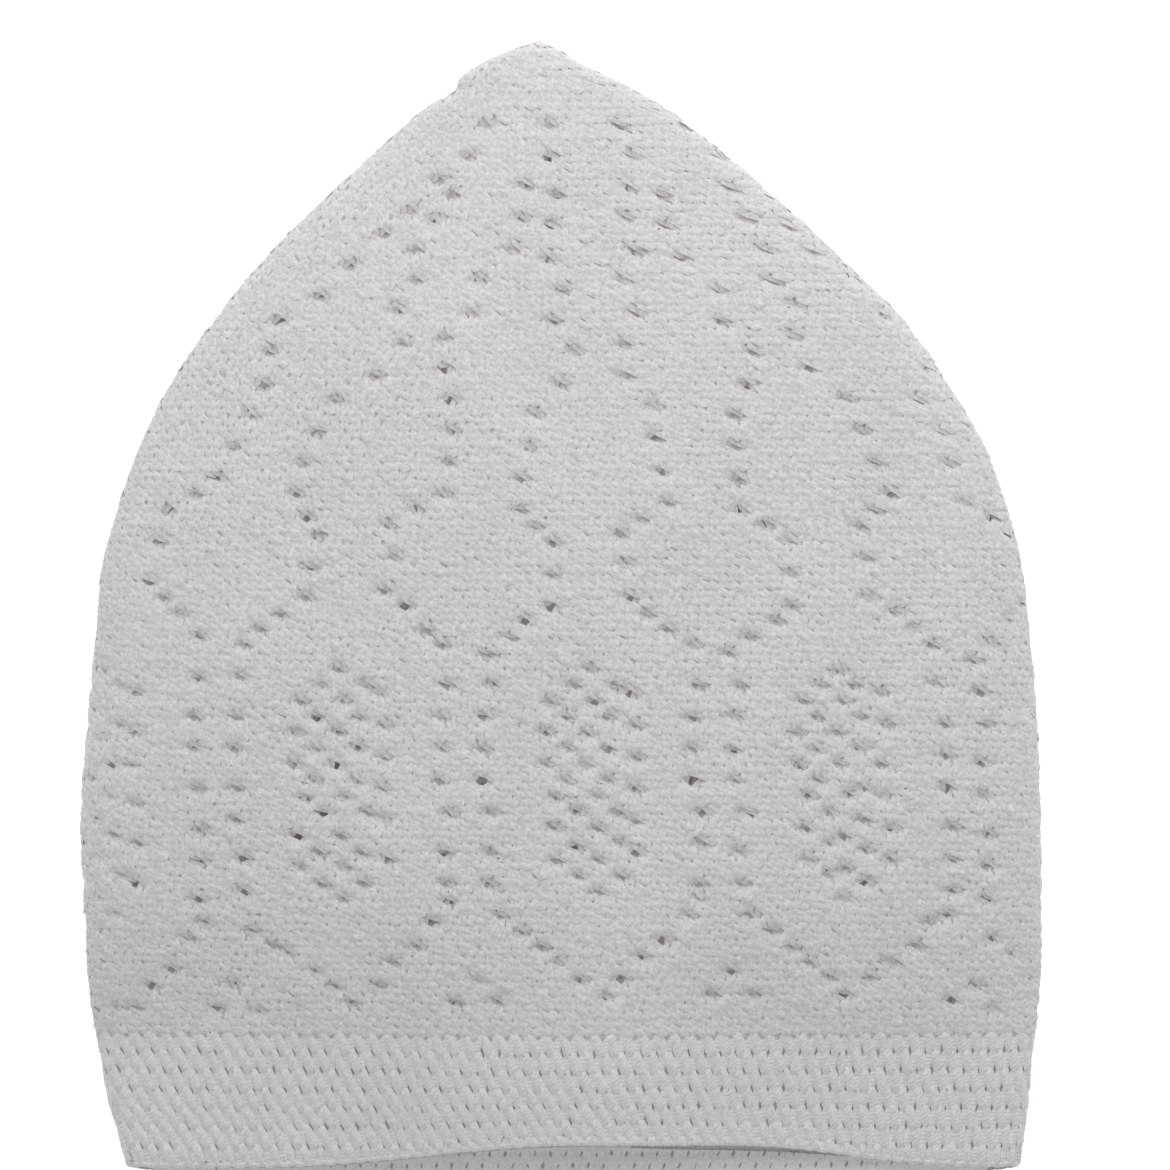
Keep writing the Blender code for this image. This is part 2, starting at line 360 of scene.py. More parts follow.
def drawn(turn, from_rim):
    """Where a share of the round lies on the cap: the upper layer's stitches are drawn out near the mouth
    and drawn in near the tip, by t - k sin(2 pi t) / (2 pi)."""
    return turn - stretch_at(from_rim) * np.sin(2 * np.pi * turn) / (2 * np.pi)


def stretch_at(from_rim):
    """How far the upper layer's stitches are drawn out there, by straight lines between the table's rows."""
    return np.interp(from_rim / MM, STRETCH_AT, STRETCH)


def round_level(row):
    """Distance from the rim of a round of stitches. An eyelet of the chart's row lies under the round."""
    return FIRST_ROUND + ROUND_PITCH * (row + 0.5)


def round_count(row):
    """Stitches in a round: the gauge is even over the upper layer, so rounds lose stitches to the tip."""
    level = round_level(row)
    count = girth_at(level) * (1 + stretch_at(level)) / STITCH
    return np.minimum(np.round(count), STITCHES_ROUND)


def brick(row):
    """Stitches lie half a stitch over from those of the round below."""
    return 0.5 * ((row + 1) % 2)


def settle(share, row):
    """Where the figures lie on the soft cap: slipped to the right by a table, tilted by a share of the
    place x across, and drooping at the sides by x^4 near the band, which turns to rising by x^2 towards
    the tip."""
    level = round_level(row - 0.5)
    x = on_cap(drawn(share, level), level, np.zeros(len(level)))[0][:, 0] / HALF_WIDTH
    upward = np.clip((level / MM - RISING_FROM) / RISING_OVER, 0, 1)
    tilt = np.clip((level / MM - TILT_FROM) / TILT_OVER, *TILT_LIMITS)
    down = DROOP + tilt * x + SIDES_DOWN * (1 - upward) * x ** 4 - SIDES_UP * upward * x ** 2
    side = np.where(on_top(share) > 0.5, 1, -1)
    slip = np.interp(level / MM, SLIP_AT, SLIP) * MM / girth_at(level) * side
    return share + slip, row - down * MM / ROUND_PITCH


def chart():
    """The eyelets of the whole cap, as share of the round and row of the chart, each at a gap between the
    stitches of the two rounds that meet there."""
    marks = []
    for repeat in range(REPEATS):
        first = repeat * STITCHES_A_REPEAT
        for axis, figure in ((DIAMOND_AXIS, DIAMOND), (DIAMOND_AXIS, CHEVRON), (PAIR_AXIS, TRIANGLE),
                             (PAIR_AXIS, PAIR)):
            marks += [(first + axis + offset, row) for offset, rounds in figure for row in rounds]
        marks += [(first + DIAMOND_AXIS - offset, row) for row, offset in LINES]
        marks += [(first + DIAMOND_AXIS + offset, row + RIGHT_LINE_RISE) for row, offset in LINES]
        marks += [(first + PAIR_AXIS, row) for row in TIP_ROUNDS]
    stitch, row = np.array(marks, float).T
    share, row = settle(stitch / STITCHES_ROUND, row)
    row = np.clip(np.round(row), *CHART_ENDS)
    count = round_count(row - 1)
    gap = 0.5 + brick(row - 1)
    share = (np.floor(share * count - gap + UNDER_HALF) + gap) / count
    return share % 1.0, row


class Eyelets:
    """Where the eyelets are, and how they push the yarn aside."""

    def __init__(self, width, height, dimple, irregular, open_from):
        """Sizes fall from the widest by a power law, places and heights spread normally, and the widest
        of the upper layer are open."""
        draw = np.random.default_rng(EYELET_SEED)
        share, row = chart()
        count = len(row)
        spread = irregular * EYELET_SPREAD
        self.from_rim = round_level(row - 0.5) + spread * draw.normal(size=count)
        askew = spread * draw.normal(size=count) / girth_at(self.from_rim)
        self.turn = drawn(share, self.from_rim) + askew
        scale = 1 - irregular * draw.power(SIZES_POWER, size=count)
        self.half_width = width / 2 * scale
        taller = np.clip(draw.normal(size=count), -HEIGHT_LIMIT, HEIGHT_LIMIT)
        self.half_height = height / 2 * scale * (1 + HEIGHT_SPREAD * irregular * taller)
        dip = SMALLEST_DIP + (1 - SMALLEST_DIP) * scale
        self.dimple = dimple * dip * (1 - DIP_FLATTENED * at_folds(self.turn, DIP_FOLD))
        self.open = (scale > open_from) & (on_top(self.turn) > 0.5)

    def near(self, turn, from_rim, girth):
        """Offsets from every eyelet that could touch this round, in its half widths and half heights, and
        which eyelets those are."""
        pick = np.flatnonzero(np.abs(self.from_rim - from_rim.mean()) < EYELET_SEARCH)
        away = turn[:, None] - self.turn[pick]
        away -= np.round(away)
        up = from_rim[:, None] - self.from_rim[pick]
        return away * girth / self.half_width[pick], up / self.half_height[pick], pick

    def push(self, turn, from_rim, girth, share=1.0):
        """Moves points out from each eyelet: a distance r becomes sqrt(r^2 + 1), which fades by
        exp(-(r / reach)^2)."""
        x, y, pick = self.near(turn, from_rim, girth)
        r = np.sqrt(x * x + y * y) + 1e-6
        out = share * (np.sqrt(r * r + 1) - r) * np.exp(-(r / PUSH_REACH) ** 2) / r
        aside, up = x * out * self.half_width[pick], y * out * self.half_height[pick]
        return turn + aside.sum(1) / girth, from_rim + up.sum(1)

    def sink(self, turn, from_rim, girth):
        """How far the yarn dips towards the eyelets near it: by exp(-(x/a)^2 - (y/b)^2)."""
        x, y, pick = self.near(turn, from_rim, girth)
        aside, up = x * self.half_width[pick] / DIMPLE_WIDE, y * self.half_height[pick] / DIMPLE_HIGH
        return (self.dimple[pick] * np.exp(-aside * aside - up * up)).sum(1)

    def beside(self, turn, from_rim, girth):
        """Whether a point lies within twice an eyelet's half width and half height."""
        x, y, _ = self.near(turn, from_rim, girth)
        return (x * x + y * y < FINE_REACH ** 2).any(axis=1)

    def holes(self, turn, from_rim, girth, cell):
        """Whether a cell's middle lies so near an open eyelet that the cell is left out."""
        x, y, pick = self.near(turn, from_rim, girth)
        aside, up = np.abs(x * self.half_width[pick]), np.abs(y * self.half_height[pick])
        return ((aside < CELL_SHARE * cell) & (up < ROUND_PITCH / 2) & self.open[pick]).any(axis=1)


def angle_line(sides):
    """Which corners of a yarn's section lie at its two sides."""
    return np.arange(sides) % (sides // 2) == 0


def tubes(points, normals, wide, thick, sides):
    """A closed yarn along a closed run of points: at each one an ellipse across the run, wide along the
    surface and thick out of it. Returns corners, faces, length along and turn for each face corner, and
    for each corner the number of the side line that it is on, which stays crisp, or -1."""
    count = len(points)
    tangent = np.roll(points, -1, axis=0) - np.roll(points, 1, axis=0)
    across = np.cross(tangent, normals)
    across /= np.linalg.norm(across, axis=1, keepdims=True)
    out = np.cross(across, tangent)
    out /= np.linalg.norm(out, axis=1, keepdims=True)
    angle = np.arange(sides) * 2 * np.pi / sides
    ring = (np.cos(angle)[None, :, None] * (across * wide[:, None])[:, None]
            + np.sin(angle)[None, :, None] * (out * thick[:, None])[:, None])
    corners = points[:, None] + ring
    i, s = np.meshgrid(np.arange(count), np.arange(sides), indexing="ij")
    j, q = (i + 1) % count, (s + 1) % sides
    faces = np.stack((i * sides + s, i * sides + q, j * sides + q, j * sides + s), axis=2)
    run = np.concatenate(([0.0], np.cumsum(np.linalg.norm(np.roll(points, -1, axis=0) - points, axis=1))))
    along = np.stack((run[i], run[i], run[i + 1], run[i + 1]), axis=2)
    turn = np.stack((s, s + 1, s + 1, s), axis=2) / sides
    line = np.where(angle_line(sides), np.arange(sides), -1)
    return (corners.reshape(-1, 3), faces.reshape(-1, 4), np.stack((along, turn), axis=3).reshape(-1, 2),
            np.tile(line, count))


def add_piece(name, parts, material, node):
    """One object from lists of corners, quads and UVs, standing for a node of the frame."""
    offset = np.concatenate(([0], np.cumsum([len(part[0]) for part in parts])))
    corners = np.concatenate([part[0] for part in parts])
    faces = np.concatenate([part[1] + first for part, first in zip(parts, offset)])
    mesh = bpy.data.meshes.new(name)
    mesh.vertices.add(len(corners))
    mesh.vertices.foreach_set("co", corners.astype(np.float32).ravel())
    mesh.loops.add(faces.size)
    mesh.loops.foreach_set("vertex_index", faces.astype(np.int32).ravel())
    mesh.polygons.add(len(faces))
    mesh.polygons.foreach_set("loop_start", np.arange(len(faces), dtype=np.int32) * 4)
    mesh.update(calc_edges=True)
    uv = mesh.uv_layers.new(name="yarn")
    uv.data.foreach_set("uv", np.concatenate([part[2] for part in parts]).astype(np.float32).ravel())
    line = np.concatenate([part[3] for part in parts])
    ends = np.empty(len(mesh.edges) * 2, np.int32)
    mesh.edges.foreach_get("vertices", ends)
    ends = line[ends.reshape(-1, 2)]
    mesh.shade_smooth()
    mesh.attributes.new("sharp_edge", "BOOLEAN", "EDGE").data.foreach_set(
        "value", (ends[:, 0] == ends[:, 1]) & (ends[:, 0] >= 0))
    mesh.materials.append(material)
    piece = bpy.data.objects.new(name, mesh)
    bpy.context.scene.collection.objects.link(piece)
    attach(piece, "root")
    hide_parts(node)
    return piece


def steps(samples):
    """For that many points in each stitch: the number of each point's stitch and its place in the stitch."""
    stitch = np.repeat(np.arange(len(samples)), samples)
    first = np.repeat(np.cumsum(samples) - samples, samples)
    return stitch, (np.arange(len(stitch)) - first) / samples[stitch]


def crown_round(row, size, eyelets):
    """One round of crochet as a closed yarn: it zigzags up and down by a cosine, leans to the left at the
    top of each stitch, and rises out of the cloth by sin(phase) - cos(2 phase), most on the falling leg."""
    draw = np.random.default_rng(CROWN_SEED + row)
    base = round_level(row)
    girth = girth_at(base)
    count = int(round_count(row))
    middle = drawn((np.arange(count) + 0.5 + brick(row)) / count, base)
    upper = np.abs(middle % 1.0 - 0.5) < 0.5 - size.fold_turn
    beside = upper & eyelets.beside(middle, np.full(count, base), girth)
    finest, fine, coarse = CROWN_POINTS
    stitch, t = steps(np.where(beside, finest, np.where(upper, fine, coarse)))
    phase = 2 * np.pi * t

    loose = draw.normal(size=(count, 3))[stitch] * ((1 - np.cos(phase)) / 2)[:, None] * size.uneven
    aside, up, out = (loose * CROWN_STRAY).T
    along = stitch + t + brick(row) - size.slant * np.cos(phase) + aside
    turn = drawn(along / count, base)
    from_rim = base + ROUND_PITCH * (size.reach * np.cos(phase) + up)
    relief = size.relief * (np.sin(phase) - np.cos(2 * phase)) + out

    turn, from_rim = eyelets.push(turn, from_rim, girth)
    depth = size.yarn_thick / 2 - relief + eyelets.sink(turn, from_rim, girth)
    points, normals = on_cap(turn, np.minimum(from_rim, SECTIONS[-1, 0] * MM), depth)
    points[:, 2] = np.maximum(points[:, 2], OVER_GROUND * size.yarn_thick)
    swell = 1 + CROWN_SWELL * draw.normal(size=len(points))
    return tubes(points, normals, size.yarn_wide / 2 * swell, size.yarn_thick / 2 * swell, CROWN_SIDES)


def crown_core(size, eyelets, columns=2 * STITCHES_ROUND):
    """The body of the stitches behind the loops: a grid of half stitches by rounds, with the cells at each
    open eyelet left out, and a fan of quads that closes the tip."""
    base = round_level(np.arange(-1, ROUNDS - 1))
    shares = np.arange(columns) / columns
    corners, keep = [], []
    for from_rim in base:
        level = np.full(columns, from_rim)
        girth = girth_at(from_rim)
        turn, moved = eyelets.push(drawn(shares, level), level, girth, size.core_push)
        depth = size.yarn_thick / 2 + size.core_depth + size.core_sink * eyelets.sink(turn, moved, girth)
        corners.append(on_cap(turn, moved, depth)[0])
        middle = drawn(shares + 0.5 / columns, level)
        keep.append(~eyelets.holes(middle, level + ROUND_PITCH / 2, girth, girth / columns))
    corners = np.array(corners)
    corners[..., 2] = np.maximum(corners[..., 2], OVER_GROUND * size.yarn_thick)
    i, j = np.meshgrid(np.arange(len(base) - 1), np.arange(columns), indexing="ij")
    k = (j + 1) % columns
    faces = np.stack((i * columns + j, i * columns + k, (i + 1) * columns + k, (i + 1) * columns + j), axis=2)
    faces = faces[np.array(keep[:-1])]
    flat = corners.reshape(-1, 3)
    pole = corners[-1].mean(axis=0)
    last = (len(base) - 1) * columns + np.arange(0, columns, 2)
    ends = np.stack((last, last + 1, (last - last[0] + 2) % columns + last[0],
                     np.full(len(last), len(flat))), axis=1)
    flat = np.vstack((flat, pole))
    faces = np.vstack((faces, ends))
    return flat, faces, flat[faces.ravel()][:, :2], np.full(len(flat), -1)


def band_level(turn, rise):
    """Where a round of the band lies, as distance from the rim. The front rim arches in a broad bell,
    exp(-|x / reach|^3), a little to the right of the middle, which is wider than the solid's cosine bell,
    and the rounds in the arch crowd towards the rim by exp(-rise / reach)."""
    left, right, _, _, swell = sections(rise)
    x = on_cap(turn, rise, np.zeros(len(turn)))[0][:, 0]
    t = np.clip((x - (right - left) / 2) / ((left + right) / 2), -1, 1)
    front = on_top(turn) > 0.5
    broad = front * np.exp(-np.abs((x - ARCH_MIDDLE) / ARCH_REACH) ** 3)
    narrow = front * np.cos(t * np.pi / 2) ** swell
    crowd = ROUNDS_CROWD * np.exp(-rise / CROWD_REACH) * (1 - np.exp(-rise / CROWD_START))
    return rise + RIM_ARCH * (broad - narrow) * (1 - rise / BAND_DEPTH).clip(0) ** 2 - crowd * broad


def band_round(row, inside, size):
    """One round of the band, outside or inside: a broad yarn in a steep wave, a cosine up and down. The
    falling leg lies over the rising one by a sine, and a round's heads stand over the feet of the next
    one, so that only a slim gap shows at the foot of each stitch."""
    rounds = INSIDE if inside else OUTSIDE
    draw = np.random.default_rng(rounds["seed"] + row)
    count = size.band_stitches
    middle = (np.arange(count) + 0.5) / count
    shows = (np.abs(middle - 0.5) < SHOWN) != inside
    stitch, t = steps(np.where(shows, *rounds["points"]))
    t = t - TURN_CROWDING * np.sin(4 * np.pi * t)
    phase = 2 * np.pi * t
    loose = size.band_uneven * draw.normal(size=(count, 4))[stitch] * ((1 - np.cos(phase)) / 2)[:, None]
    aside, up, out, wider = (loose * BAND_STRAY).T

    half_over = row * (0.5 + 2 * size.band_slant) % 1.0
    turn = (stitch + t + half_over - size.band_slant * np.cos(phase) + aside) / count
    centre = rounds["first"] + row * rounds["pitch"]
    level = band_level(turn, centre + size.band_reach * rounds["pitch"] * (np.cos(phase) + up))
    relief = size.band_relief * np.sin(phase) + out
    if inside:
        wide, thick = size.inner_wide, size.band_thick * INSIDE_THICK
        lining = (size.band_wall - thick / 2) * (1 - LINING_DRAWN_OUT * at_folds(turn, LINING_FOLD))
        depth = lining - relief
        lowest = rounds["lowest"] + INSIDE_HELD_BACK * on_top(turn)
    else:
        wide, thick = size.band_wide, size.band_thick
        depth = thick / 2 + size.band_relief - relief
        lowest = rounds["lowest"]
    level = np.maximum(level, band_level(turn, np.zeros(len(turn))) + lowest)
    points, normals = on_cap(turn, level, depth)
    if not inside:
        points[:, 2] = np.maximum(points[:, 2], OVER_GROUND * thick)
    swell = 1 + BAND_SWELL * draw.normal(size=len(points)) + wider
    thicker = 1 + BAND_SWELL * draw.normal(size=len(points))
    return tubes(points, normals, wide / 2 * swell, thick / 2 * thicker, BAND_SIDES)


def edge_line(turn, wave=0.0):
    """The middle of the strand that rolls over the rim, and the normals there. It rises and falls by wave."""
    level = band_level(turn, np.zeros(len(turn))) + EDGE_RISE + wave
    return on_cap(turn, level, np.full(len(turn), EDGE_DEPTH))


def edge_round(size):
    """The plain strand that rolls over the rim: a straight yarn that rises and falls a little by a sine."""
    count = 4 * size.band_stitches
    turn = np.arange(count) / count
    points, normals = edge_line(turn, EDGE_WAVE * np.sin(turn * 2 * np.pi * size.band_stitches))
    points[:, 2] = np.maximum(points[:, 2], EDGE_OVER_GROUND * EDGE_HALF_THICK)
    wide, thick = np.full(count, EDGE_HALF_WIDE), np.full(count, EDGE_HALF_THICK)
    return tubes(points, normals, wide, thick, BAND_SIDES)


def band_core(size, columns=240):
    """The closed body of the band: an outer and an inner skin that meet in a lip at the mouth. In front the
    lip stands out a little past the rim strand, as its shaded underside, and at the back it stays behind."""
    turns = np.arange(columns) / columns
    rises = [rise * MM for rise in BODY_RISES]
    outer_depth = size.band_thick / 2 + size.band_core_depth
    inner_depth = size.band_wall - size.band_thick / 2 - size.inner_core_depth
    outer_lip, inner_lip = (share * size.band_wall for share in LIP_DEPTHS)
    skins = [(0.0, outer_lip)] + [(rise, outer_depth) for rise in rises]
    skins += [(rise, inner_depth) for rise in rises[::-1]] + [(0.0, inner_lip)]
    corners = []
    for rise, depth in skins:
        level = band_level(turns, np.full(columns, rise))
        corners.append(on_cap(turns, level, np.full(columns, depth))[0])
    corners = np.array(corners)
    # painted shade: in front the lip shows past the rim strand as a thin dark line in the body's darkened
    # colour
    lip = EDGE_HALF_WIDE + LIP_BACK + (SHADE_LINE_LIP_OUT - LIP_BACK) * on_top(turns)
    corners[(0, -1), :, 1] = edge_line(turns)[0][:, 1] - lip
    count = len(skins)
    i, j = np.meshgrid(np.arange(count), np.arange(columns), indexing="ij")
    k, up = (j + 1) % columns, (i + 1) % count
    faces = np.stack((i * columns + j, i * columns + k, up * columns + k, up * columns + j), axis=2)
    faces = faces.reshape(-1, 4)
    flat = corners.reshape(-1, 3)
    return flat, faces, flat[faces.ravel()][:, :2], np.full(len(flat), -1)


def set_inputs(node, values):
    """Gives a shader node these values at the inputs of those names or numbers."""
    for name, value in values.items():
        node.inputs[name].default_value = value
    return node


def cotton(name, colour, ply, grain, speckle, glow):
    """Matt cotton yarn: a little uneven in colour, twisted plies along the yarn's own UV, and fine fuzz.

    The colour runs from dull to full over the middle of a mix of two noises, specks and patches. The plies
    are diagonal bands, one in each length of ply along the yarn, and they and the fuzz are bumps."""
    material = bpy.data.materials.new(name)
    material.use_nodes = True
    nodes, links = material.node_tree.nodes, material.node_tree.links
    shader = set_inputs(nodes["Principled BSDF"], MATT)
    # painted light: the yarn glows in its own colour by the glow strength, lifting its shade as if light came
    # through the cotton
    set_inputs(shader, {"Emission Color": (*colour, 1), "Emission Strength": glow})

    place = nodes.new("ShaderNodeTexCoord")
    patches = set_inputs(nodes.new("ShaderNodeTexNoise"), PATCHES)
    specks = set_inputs(nodes.new("ShaderNodeTexNoise"), SPECKS)
    fuzz = set_inputs(nodes.new("ShaderNodeTexNoise"), FUZZ)
    for noise in (patches, specks, fuzz):
        links.new(place.outputs["Object"], noise.inputs["Vector"])
    patch_part = set_inputs(nodes.new("ShaderNodeMath"), {1: 1 - SPECK_SHARE})
    patch_part.operation = "MULTIPLY"
    mix = set_inputs(nodes.new("ShaderNodeMath"), {1: SPECK_SHARE})
    mix.operation = "MULTIPLY_ADD"
    ramp = nodes.new("ShaderNodeValToRGB")
    dull = [channel * (1 - speckle) for channel in colour]
    for element, position, shade in zip(ramp.color_ramp.elements, DULL_TO_BRIGHT, (dull, colour)):
        element.position = position
        element.color = (*shade, 1)
    links.new(patches.outputs["Fac"], patch_part.inputs[0])
    links.new(specks.outputs["Fac"], mix.inputs[0])
    links.new(patch_part.outputs[0], mix.inputs[2])
    links.new(mix.outputs[0], ramp.inputs["Fac"])
    links.new(ramp.outputs["Color"], shader.inputs["Base Color"])

    yarn = nodes.new("ShaderNodeUVMap")
    yarn.uv_map = "yarn"
    twist = set_inputs(nodes.new("ShaderNodeMapping"), {"Scale": (1 / ply, PLIES_ROUND, 1.0)})
    plies = set_inputs(nodes.new("ShaderNodeTexWave"), {"Scale": 1.0, "Distortion": 1.0})
    plies.wave_type = "BANDS"
    plies.bands_direction = "DIAGONAL"
    ply_bump = set_inputs(nodes.new("ShaderNodeBump"), {"Strength": PLY_BUMP, "Distance": grain})
    fuzz_bump = set_inputs(nodes.new("ShaderNodeBump"), {"Strength": FUZZ_BUMP, "Distance": grain})
    links.new(yarn.outputs["UV"], twist.inputs["Vector"])
    links.new(twist.outputs["Vector"], plies.inputs["Vector"])
    links.new(plies.outputs["Fac"], ply_bump.inputs["Height"])
    links.new(fuzz.outputs["Fac"], fuzz_bump.inputs["Height"])
    links.new(ply_bump.outputs["Normal"], fuzz_bump.inputs["Normal"])
    links.new(fuzz_bump.outputs["Normal"], shader.inputs["Normal"])
    return material


class CrownSettings(PropertyGroup):
    """Sizes and looks of the crown's crochet"""
    yarn_wide: FloatProperty(name="Yarn width", description="Width of the flattened yarn",
                             default=1.3 * MM, unit="LENGTH")
    yarn_thick: FloatProperty(name="Yarn thickness", description="Thickness of the flattened yarn",
                              default=0.4 * MM, unit="LENGTH")
    reach: FloatProperty(name="Loop reach", description="Half height of a loop, in rounds", default=0.57)
    slant: FloatProperty(name="Slant", description="Lean of a loop's top to the left, in stitches",
                         default=0.34)
    relief: FloatProperty(name="Relief", description="How far the legs of a loop stand out",
                          default=0.04 * MM, unit="LENGTH")
    uneven: FloatProperty(name="Unevenness", description="How much the stitches differ", default=0.9)
    fold_turn: FloatProperty(name="Lower layer", description="Turn round the cap at which the lower layer "
                             "ends", default=0.235)
    core_depth: FloatProperty(name="Core depth", description="Depth of the cloth's body behind the loops",
                              default=0.1 * MM, unit="LENGTH")
    # painted shade: the body behind the loops is coloured this share of the yarn's colour, so the gaps
    # between stitches and the eyelets look shaded
    body_painted_shade: FloatProperty(name="Body shade", description="Brightness of the body behind the loops, as a "
                              "share of the yarn's", default=0.95)
    core_push: FloatProperty(name="Core opening", description="How far the body gives way at an eyelet, as a "
                             "share of what the loops do, or closes in on it where negative", default=-0.3)
    core_sink: FloatProperty(name="Core sink", description="How far the body dips at an eyelet, as a share "
                             "of what the loops do", default=0.95)
    eyelet_width: FloatProperty(name="Eyelet width", description="Width over which an eyelet opens",
                                default=3.7 * MM, unit="LENGTH")
    eyelet_height: FloatProperty(name="Eyelet height", description="Height over which an eyelet opens",
                                 default=1.8 * MM, unit="LENGTH")
    dimple: FloatProperty(name="Dimple", description="How far the cloth dips at an eyelet",
                          default=3.0 * MM, unit="LENGTH")
    irregular: FloatProperty(name="Irregularity", description="How much smaller than the widest the smallest "
                             "eyelet is, as a share", default=0.5)
    open_from: FloatProperty(name="Open from", description="Size, as a share of the widest, from which an "
                             "eyelet goes right through", default=0.9)
    grain: FloatProperty(name="Grain", description="Height of the yarn's plies and fuzz", default=0.08 * MM,
                         unit="LENGTH")
    speckle: FloatProperty(name="Speckle", description="How much darker the yarn is in its dullest specks",
                           default=0.25)
    # painted light: emission strength of the crown's yarn, which brightens its shaded gaps
    glow: FloatProperty(name="Glow", description="Light that the thin cotton lets through", default=0.12)
    colour: FloatVectorProperty(name="Colour", description="Colour of the crown's cotton", subtype="COLOR",
                                default=(0.788, 0.771, 0.76))


class BandSettings(PropertyGroup):
    """Sizes and looks of the band's crochet"""
    band_stitches: IntProperty(name="Stitches", description="Stitches round the band", default=120)
    band_wide: FloatProperty(name="Yarn width", description="Width of the band's flattened yarn",
                             default=2.05 * MM, unit="LENGTH")
    band_thick: FloatProperty(name="Yarn thickness", description="Thickness of the band's yarn",
                              default=0.8 * MM, unit="LENGTH")
    band_reach: FloatProperty(name="Loop reach", description="Half height of a loop, in rounds", default=0.53)
    band_slant: FloatProperty(name="Slant", description="Lean of a loop's top to the left, in stitches",
                              default=-0.02)
    band_relief: FloatProperty(name="Relief", description="How far the legs of a loop stand out",
                               default=0.12 * MM, unit="LENGTH")
    band_uneven: FloatProperty(name="Unevenness", description="How much the stitches differ", default=0.8)
    # painted shade: the band's body is coloured this share of the yarn's colour, so the gaps between its
    # stitches and the lip under the rim look shaded
    body_painted_shade: FloatProperty(name="Body shade", description="Brightness of the body behind the loops, as a "
                              "share of the yarn's", default=0.92)
    band_core_depth: FloatProperty(name="Core depth", description="Depth of the band's body behind the loops",
                                   default=0.62 * MM, unit="LENGTH")
    band_wall: FloatProperty(name="Wall", description="Thickness of the band's wall",
                             default=2.8 * MM, unit="LENGTH")
    inner_wide: FloatProperty(name="Inner yarn width", description="Width of the yarn on the inside",
                              default=1.8 * MM, unit="LENGTH")
    inner_core_depth: FloatProperty(name="Inner core depth", description="Depth of the body behind the inner "
                                    "loops", default=0.6 * MM, unit="LENGTH")
    # painted light: emission strength of the inside's yarn, higher than outside, to lighten the shade under
    # the front rim
    inner_painted_glow: FloatProperty(name="Inner glow", description="Light that comes through to the inside",
                              default=0.17)
    grain: FloatProperty(name="Grain", description="Height of the yarn's plies and fuzz", default=0.2 * MM,
                         unit="LENGTH")
    speckle: FloatProperty(name="Speckle", description="How much darker the yarn is in its dullest specks",
                           default=0.2)
    # painted light: emission strength of the band's yarn, which brightens its shaded gaps
    glow: FloatProperty(name="Glow", description="Light that the thin cotton lets through", default=0.12)
    colour: FloatVectorProperty(name="Colour", description="Colour of the band's cotton", subtype="COLOR",
                                default=(0.815, 0.806, 0.8))


class StageSettings(PropertyGroup):
    """Floor, light and view"""
    floor_size: FloatProperty(name="Floor", description="Side of the pale floor", default=6.0, unit="LENGTH")
    floor_colour: FloatVectorProperty(name="Floor colour", description="Colour of the floor", subtype="COLOR",
                                      default=(0.93, 0.93, 0.93))
    floor_glow: FloatProperty(name="Floor glow", description="Light that the floor gives, as a light table",
                              default=0.6)
    sky: FloatProperty(name="Sky", description="Strength of the even light", default=0.31)
    key: FloatProperty(name="Key", description="Power of the soft box over the tip", default=3.4,
                       unit="POWER")
    fill: FloatProperty(name="Fill", description="Power of the soft box over the mouth", default=0.35,
                        unit="POWER")
    view_width: FloatProperty(name="View width", description="Width that the picture takes in",
                              default=231.1 * MM, unit="LENGTH")


class CAP_OT_crown(Operator):
    """Works the crown's rounds of crochet over their core"""
    bl_idname = "prayer_cap.crown"
    bl_label = "Crown"

    def execute(self, context):
        size = context.scene.cap_crown
        eyelets = Eyelets(size.eyelet_width, size.eyelet_height, size.dimple, size.irregular, size.open_from)
        yarn = cotton("crown_cotton", size.colour, CROWN_PLY, size.grain, size.speckle, size.glow)
        for number, (low, high) in enumerate(TIERS, 1):
            rounds = [crown_round(row, size, eyelets) for row in range(low, high)]
            add_piece(f"crown_rounds_{number}", rounds, yarn, "crown")
        # painted shade: a darker copy of the cotton without glow colours the body behind the loops, darkening
        # the gaps between stitches and the eyelets
        shade = [channel * size.body_painted_shade for channel in size.colour]
        body = cotton("crown_body_painted_shade", shade, CROWN_PLY, size.grain, size.speckle, 0.0)
        add_piece("crown_core", [crown_core(size, eyelets)], body, "crown")
        return {"FINISHED"}


class CAP_OT_band(Operator):
    """Works the rim band's rounds, outside and inside, and the rim strand over their body"""
    bl_idname = "prayer_cap.band"
    bl_label = "Rim band"

    def execute(self, context):
        size = context.scene.cap_band
        yarn = cotton("band_cotton", size.colour, BAND_PLY, size.grain, size.speckle, size.glow)
        rounds = [edge_round(size)] + [band_round(row, False, size) for row in range(OUTSIDE["rounds"])]
        add_piece("band_rounds", rounds, yarn, "rim_band")
        # painted light: the inside's yarn is a copy of the cotton that glows more, lightening the shade under
        # the front rim
        lining = cotton("band_lining_painted_glow", size.colour, BAND_PLY, size.grain, size.speckle, size.inner_painted_glow)
        rounds = [band_round(row, True, size) for row in range(INSIDE["rounds"])]
        add_piece("band_inside", rounds, lining, "rim_band")
        # painted shade: a darker copy of the cotton without glow colours the band's body, darkening the gaps
        # between stitches and the lip under the rim
        shade = [channel * size.body_painted_shade for channel in size.colour]
        body = cotton("band_body_painted_shade", shade, BAND_PLY, size.grain, size.speckle, 0.0)
        add_piece("band_core", [band_core(size)], body, "rim_band")
        return {"FINISHED"}


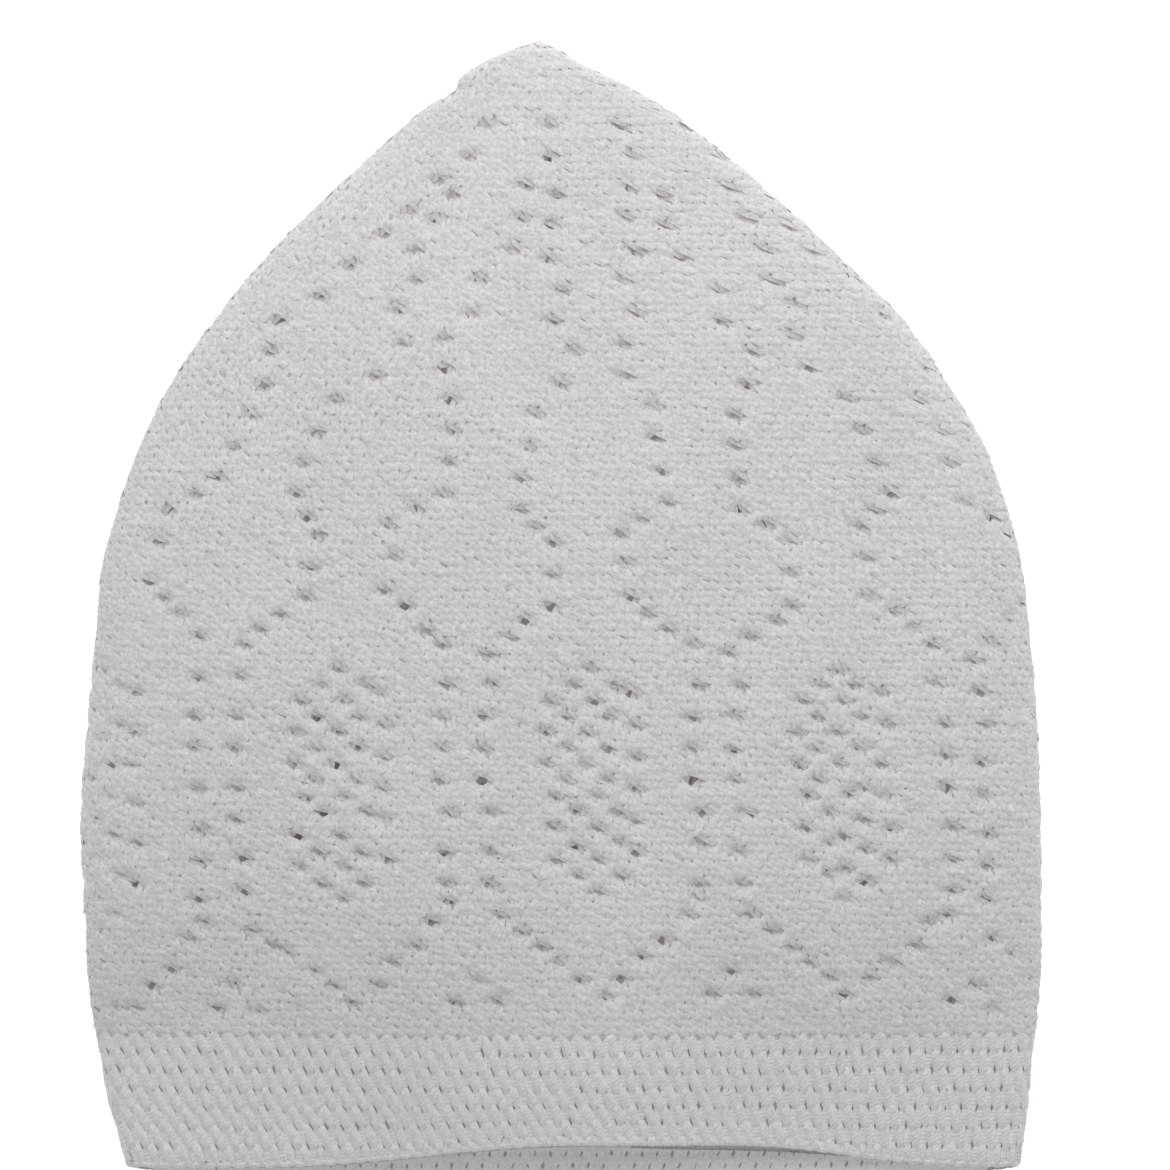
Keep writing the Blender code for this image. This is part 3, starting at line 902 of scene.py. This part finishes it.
class CAP_OT_stage(Operator):
    """Sets the pale floor, the soft lights and the camera straight above the cap"""
    bl_idname = "prayer_cap.stage"
    bl_label = "Stage"

    def execute(self, context):
        size = context.scene.cap_stage
        reach = size.floor_size / 2
        corners = [(x, y, -FLOOR_BELOW) for x, y in ((-reach, -reach), (reach, -reach), (reach, reach),
                                                     (-reach, reach))]
        floor_mesh = bpy.data.meshes.new("floor")
        floor_mesh.from_pydata(corners, [], [(0, 1, 2, 3)])
        floor = bpy.data.objects.new("floor", floor_mesh)
        context.scene.collection.objects.link(floor)
        paint = bpy.data.materials.new("floor")
        paint.use_nodes = True
        shader = set_inputs(paint.node_tree.nodes["Principled BSDF"], FLOOR_SURFACE)
        set_inputs(shader, {"Base Color": (*size.floor_colour, 1), "Emission Strength": size.floor_glow})
        floor_mesh.materials.append(paint)

        world = bpy.data.worlds.new("studio")
        world.use_nodes = True
        set_inputs(world.node_tree.nodes["Background"], {"Color": (1, 1, 1, 1), "Strength": size.sky})
        context.scene.world = world
        for power, (name, wide, high, place, lean) in zip((size.key, size.fill), SOFT_BOXES):
            box = bpy.data.lights.new(name, "AREA")
            box.shape = "RECTANGLE"
            box.size = wide
            box.size_y = high
            box.energy = power
            lamp = bpy.data.objects.new(name, box)
            lamp.location = place
            lamp.rotation_euler = (np.radians(lean), 0, 0)
            context.scene.collection.objects.link(lamp)

        lens = bpy.data.cameras.new("camera")
        lens.lens = LENS
        lens.sensor_width = SENSOR
        lens.clip_start = CLIP_START
        camera = bpy.data.objects.new("camera", lens)
        height = size.view_width * LENS / SENSOR
        camera.location = (*CAMERA_OVER, height + SEEN_HEIGHT)
        context.scene.collection.objects.link(camera)
        context.scene.camera = camera
        context.scene.view_settings.view_transform = "Standard"
        return {"FINISHED"}


class CAP_PT_panel(Panel):
    """Lists the pieces of the cap"""
    bl_idname = "CAP_PT_panel"
    bl_label = "Prayer cap"
    bl_space_type = "VIEW_3D"
    bl_region_type = "UI"
    bl_category = "Prayer cap"

    def draw(self, context):
        for label, group, operator in (("Crown", context.scene.cap_crown, CAP_OT_crown),
                                       ("Rim band", context.scene.cap_band, CAP_OT_band),
                                       ("Stage", context.scene.cap_stage, CAP_OT_stage)):
            box = self.layout.box()
            box.label(text=label)
            for name in group.__annotations__:
                box.prop(group, name)
            box.operator(operator.bl_idname)


CLASSES = (CrownSettings, BandSettings, StageSettings, CAP_OT_crown, CAP_OT_band, CAP_OT_stage, CAP_PT_panel)


def register():
    """Adds the classes and the scene's settings"""
    for each in CLASSES:
        bpy.utils.register_class(each)
    bpy.types.Scene.cap_crown = PointerProperty(type=CrownSettings)
    bpy.types.Scene.cap_band = PointerProperty(type=BandSettings)
    bpy.types.Scene.cap_stage = PointerProperty(type=StageSettings)


def unregister():
    """Takes the settings and the classes away again"""
    del bpy.types.Scene.cap_stage
    del bpy.types.Scene.cap_band
    del bpy.types.Scene.cap_crown
    for each in reversed(CLASSES):
        bpy.utils.unregister_class(each)


def main():
    """Makes the pieces and the stage"""
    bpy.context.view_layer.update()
    register()
    bpy.ops.prayer_cap.crown()
    bpy.ops.prayer_cap.band()
    bpy.ops.prayer_cap.stage()


if __name__ == "__main__":
    main()
